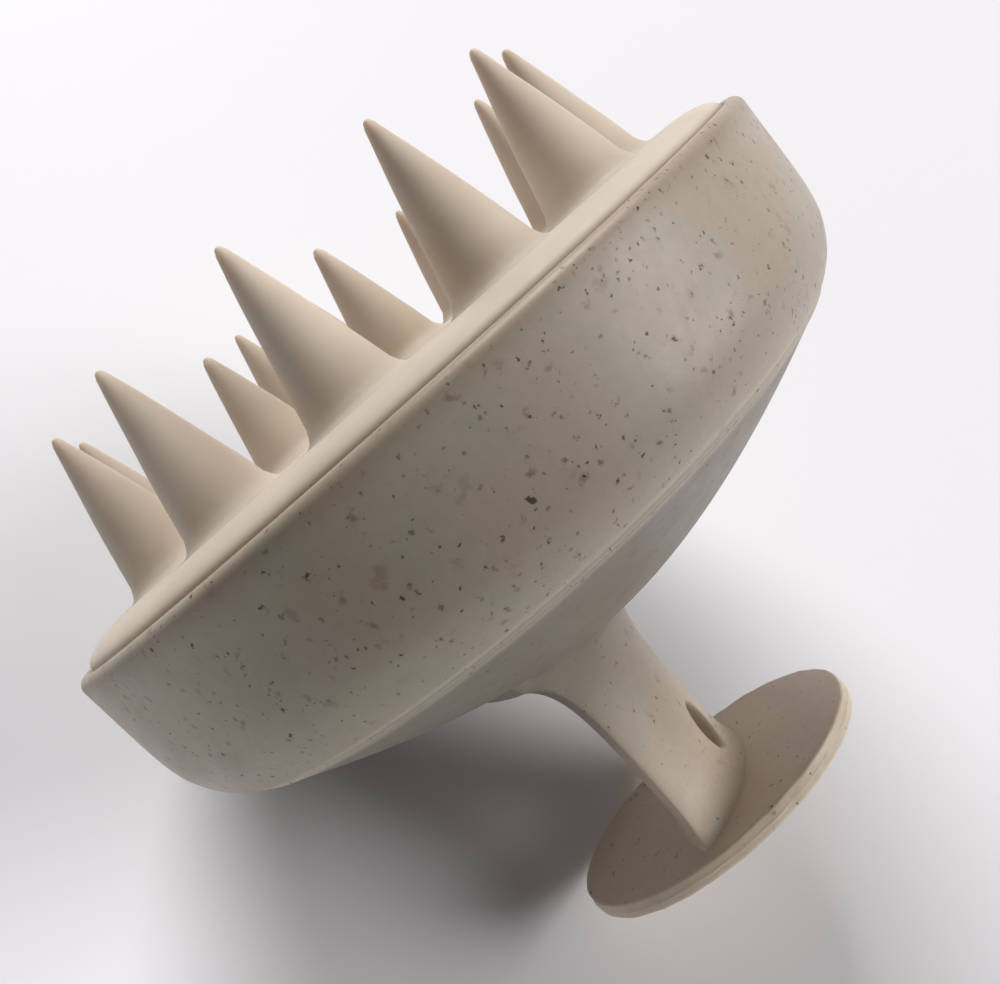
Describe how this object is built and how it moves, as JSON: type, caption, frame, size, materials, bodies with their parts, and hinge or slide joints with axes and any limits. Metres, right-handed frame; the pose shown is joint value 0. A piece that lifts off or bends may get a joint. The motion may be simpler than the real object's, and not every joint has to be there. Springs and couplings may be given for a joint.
{
  "type": "scalp massager brush",
  "caption": "Hand-held scalp massager brush: round shell, soft silicone cone bristles, and a T-shaped finger-grip stalk with a hanging hole.",
  "frame": {"origin": "the point under the body's axis on the plane of the grip disc's flat outer face, which the brush stands on", "axes": "+Z from the grip disc towards the bristles, X through the hanging hole, Y along the stalk's lens-shaped section"},
  "size_m": [0.085, 0.085, 0.0748],
  "materials": {
    "straw_plastic": "satin, filled with straw specks",
    "handle_plastic": "matte, few specks",
    "plate_plastic": "plain moulded",
    "silicone": "matte",
    "screw_steel": "zinc plated"
  },
  "bodies": {
    "brush_body": {"outer_shell": "straw_plastic", "back_cover_with_handle": "handle_plastic", "support_plate": "plate_plastic", "bristle_pad": "silicone", "plate_screw_1": "screw_steel", "plate_screw_2": "screw_steel", "plate_screw_3": "screw_steel", "plate_screw_4": "screw_steel"},
    "outer_bristle_01": {"outer_bristle_01": "silicone"},
    "outer_bristle_02": {"outer_bristle_02": "silicone"},
    "outer_bristle_03": {"outer_bristle_03": "silicone"},
    "outer_bristle_04": {"outer_bristle_04": "silicone"},
    "outer_bristle_05": {"outer_bristle_05": "silicone"},
    "outer_bristle_06": {"outer_bristle_06": "silicone"},
    "outer_bristle_07": {"outer_bristle_07": "silicone"},
    "outer_bristle_08": {"outer_bristle_08": "silicone"},
    "outer_bristle_09": {"outer_bristle_09": "silicone"},
    "outer_bristle_10": {"outer_bristle_10": "silicone"},
    "outer_bristle_11": {"outer_bristle_11": "silicone"},
    "outer_bristle_12": {"outer_bristle_12": "silicone"},
    "inner_bristle_01": {"inner_bristle_01": "silicone"},
    "inner_bristle_02": {"inner_bristle_02": "silicone"},
    "inner_bristle_03": {"inner_bristle_03": "silicone"},
    "inner_bristle_04": {"inner_bristle_04": "silicone"},
    "inner_bristle_05": {"inner_bristle_05": "silicone"},
    "inner_bristle_06": {"inner_bristle_06": "silicone"}
  },
  "joints": [
    {"name": "outer_bristle_01_bend", "type": "hinge", "parent": "brush_body", "child": "outer_bristle_01", "pos_m": [0.00753, -0.02811, 0.0639], "axis": [0.9659, 0.2588, 0], "range_deg": [-20, 20], "stiffness_Nm_per_rad": 0.014},
    {"name": "outer_bristle_02_bend", "type": "hinge", "parent": "brush_body", "child": "outer_bristle_02", "pos_m": [0.02058, -0.02058, 0.0639], "axis": [0.7071, 0.7071, 0], "range_deg": [-20, 20], "stiffness_Nm_per_rad": 0.014},
    {"name": "outer_bristle_03_bend", "type": "hinge", "parent": "brush_body", "child": "outer_bristle_03", "pos_m": [0.02811, -0.00753, 0.0639], "axis": [0.2588, 0.9659, 0], "range_deg": [-20, 20], "stiffness_Nm_per_rad": 0.014},
    {"name": "outer_bristle_04_bend", "type": "hinge", "parent": "brush_body", "child": "outer_bristle_04", "pos_m": [0.02811, 0.00753, 0.0639], "axis": [-0.2588, 0.9659, 0], "range_deg": [-20, 20], "stiffness_Nm_per_rad": 0.014},
    {"name": "outer_bristle_05_bend", "type": "hinge", "parent": "brush_body", "child": "outer_bristle_05", "pos_m": [0.02058, 0.02058, 0.0639], "axis": [-0.7071, 0.7071, 0], "range_deg": [-20, 20], "stiffness_Nm_per_rad": 0.014},
    {"name": "outer_bristle_06_bend", "type": "hinge", "parent": "brush_body", "child": "outer_bristle_06", "pos_m": [0.00753, 0.02811, 0.0639], "axis": [-0.9659, 0.2588, 0], "range_deg": [-20, 20], "stiffness_Nm_per_rad": 0.014},
    {"name": "outer_bristle_07_bend", "type": "hinge", "parent": "brush_body", "child": "outer_bristle_07", "pos_m": [-0.00753, 0.02811, 0.0639], "axis": [-0.9659, -0.2588, 0], "range_deg": [-20, 20], "stiffness_Nm_per_rad": 0.014},
    {"name": "outer_bristle_08_bend", "type": "hinge", "parent": "brush_body", "child": "outer_bristle_08", "pos_m": [-0.02058, 0.02058, 0.0639], "axis": [-0.7071, -0.7071, 0], "range_deg": [-20, 20], "stiffness_Nm_per_rad": 0.014},
    {"name": "outer_bristle_09_bend", "type": "hinge", "parent": "brush_body", "child": "outer_bristle_09", "pos_m": [-0.02811, 0.00753, 0.0639], "axis": [-0.2588, -0.9659, 0], "range_deg": [-20, 20], "stiffness_Nm_per_rad": 0.014},
    {"name": "outer_bristle_10_bend", "type": "hinge", "parent": "brush_body", "child": "outer_bristle_10", "pos_m": [-0.02811, -0.00753, 0.0639], "axis": [0.2588, -0.9659, 0], "range_deg": [-20, 20], "stiffness_Nm_per_rad": 0.014},
    {"name": "outer_bristle_11_bend", "type": "hinge", "parent": "brush_body", "child": "outer_bristle_11", "pos_m": [-0.02058, -0.02058, 0.0639], "axis": [0.7071, -0.7071, 0], "range_deg": [-20, 20], "stiffness_Nm_per_rad": 0.014},
    {"name": "outer_bristle_12_bend", "type": "hinge", "parent": "brush_body", "child": "outer_bristle_12", "pos_m": [-0.00753, -0.02811, 0.0639], "axis": [0.9659, -0.2588, 0], "range_deg": [-20, 20], "stiffness_Nm_per_rad": 0.014},
    {"name": "inner_bristle_01_bend", "type": "hinge", "parent": "brush_body", "child": "inner_bristle_01", "pos_m": [0.00765, -0.01325, 0.0631], "axis": [0.866, 0.5, 0], "range_deg": [-20, 20], "stiffness_Nm_per_rad": 0.012},
    {"name": "inner_bristle_02_bend", "type": "hinge", "parent": "brush_body", "child": "inner_bristle_02", "pos_m": [0.0153, 0, 0.0631], "axis": [0, 1, 0], "range_deg": [-20, 20], "stiffness_Nm_per_rad": 0.012},
    {"name": "inner_bristle_03_bend", "type": "hinge", "parent": "brush_body", "child": "inner_bristle_03", "pos_m": [0.00765, 0.01325, 0.0631], "axis": [-0.866, 0.5, 0], "range_deg": [-20, 20], "stiffness_Nm_per_rad": 0.012},
    {"name": "inner_bristle_04_bend", "type": "hinge", "parent": "brush_body", "child": "inner_bristle_04", "pos_m": [-0.00765, 0.01325, 0.0631], "axis": [-0.866, -0.5, 0], "range_deg": [-20, 20], "stiffness_Nm_per_rad": 0.012},
    {"name": "inner_bristle_05_bend", "type": "hinge", "parent": "brush_body", "child": "inner_bristle_05", "pos_m": [-0.0153, 0, 0.0631], "axis": [0, -1, 0], "range_deg": [-20, 20], "stiffness_Nm_per_rad": 0.012},
    {"name": "inner_bristle_06_bend", "type": "hinge", "parent": "brush_body", "child": "inner_bristle_06", "pos_m": [-0.00765, -0.01325, 0.0631], "axis": [0.866, -0.5, 0], "range_deg": [-20, 20], "stiffness_Nm_per_rad": 0.012}
  ]
}
